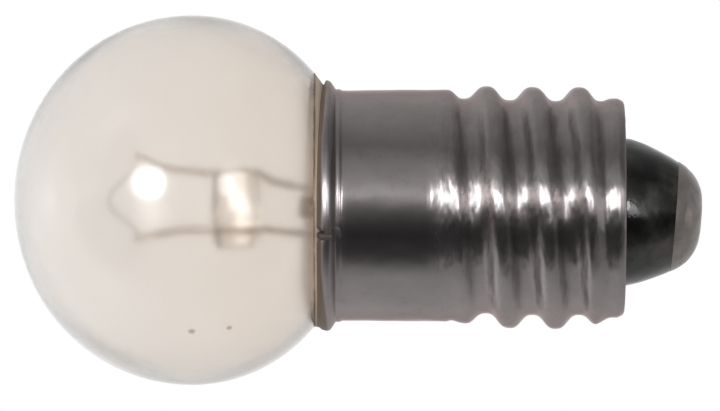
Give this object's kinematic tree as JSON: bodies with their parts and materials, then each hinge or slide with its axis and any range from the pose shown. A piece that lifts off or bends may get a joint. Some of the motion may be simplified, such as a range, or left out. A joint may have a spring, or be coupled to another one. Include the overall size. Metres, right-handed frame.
{
  "type": "incandescent light bulb",
  "caption": "Small clear globe light bulb with a filament between two leads, on a threaded metal screw base with a black glass nose and solder contact.",
  "frame": {"origin": "on the axis of the screw base, at the height of the lowest point of the centre contact", "axes": "+Z along the axis of the screw base, from the centre contact to the top of the globe; the nose leans towards -X"},
  "size_m": [0.0144, 0.0144, 0.0269],
  "materials": {
    "bulb_glass": "thin blown soda-lime glass, clear with a faint grey-tan tone",
    "bead_glass": "thick clear lead glass, fused round the leads",
    "tungsten": "drawn tungsten wire, dark grey",
    "lead_wire": "oxidised nickel and copper-clad lead wire, brown-grey",
    "shell_metal": "thin nickel-plated brass sheet, slightly dulled, with a rolled thread",
    "cement": "baked brown resin cement",
    "black_glass": "glossy black pressed glass",
    "contact_metal": "tinned brass plate, dulled",
    "solder": "grey tin-lead solder, worn to a small flat"
  },
  "bodies": {
    "root": {"glass_bulb": "bulb_glass", "glass_bead": "bead_glass", "filament": "tungsten", "contact_lead": "lead_wire", "shell_lead": "lead_wire", "base_shell": "shell_metal", "basing_cement": "cement", "insulator": "black_glass", "centre_contact": "contact_metal", "tip_solder": "solder", "side_solder": "solder"}
  },
  "joints": []
}
